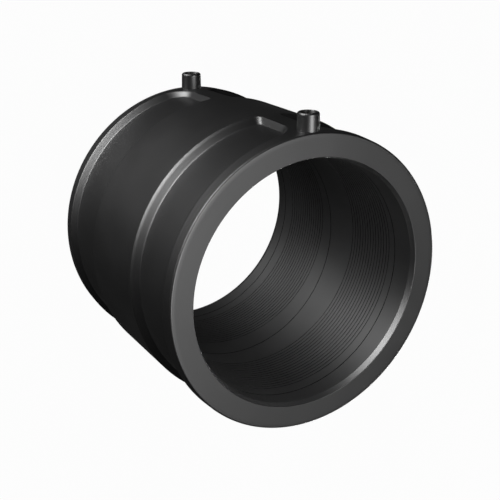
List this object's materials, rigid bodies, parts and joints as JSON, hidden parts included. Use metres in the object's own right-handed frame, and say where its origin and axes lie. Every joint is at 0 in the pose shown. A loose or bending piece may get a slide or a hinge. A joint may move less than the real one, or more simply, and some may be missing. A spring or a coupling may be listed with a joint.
{
  "type": "electrofusion coupler",
  "caption": "Black polyethylene pipe coupler with a smooth bore, a raised middle band and two shrouded side terminals that feed the heating wire wound in its bore.",
  "frame": {"origin": "centre of the bore at the middle of the coupler's length", "axes": "+Z along the bore towards the upper mouth, which is the one the picture looks into; +X from the bore's axis towards the two terminals"},
  "size_m": [0.2065, 0.1964, 0.172],
  "materials": {
    "black_polyethylene": "satin moulded black polyethylene",
    "wire": "resistance wire under a thin skin of black polyethylene",
    "terminal_brass": "turned brass"
  },
  "bodies": {
    "root": {"coupler_body": "black_polyethylene", "heating_coil": "wire", "upper_terminal_pin": "terminal_brass", "lower_terminal_pin": "terminal_brass"}
  },
  "joints": []
}
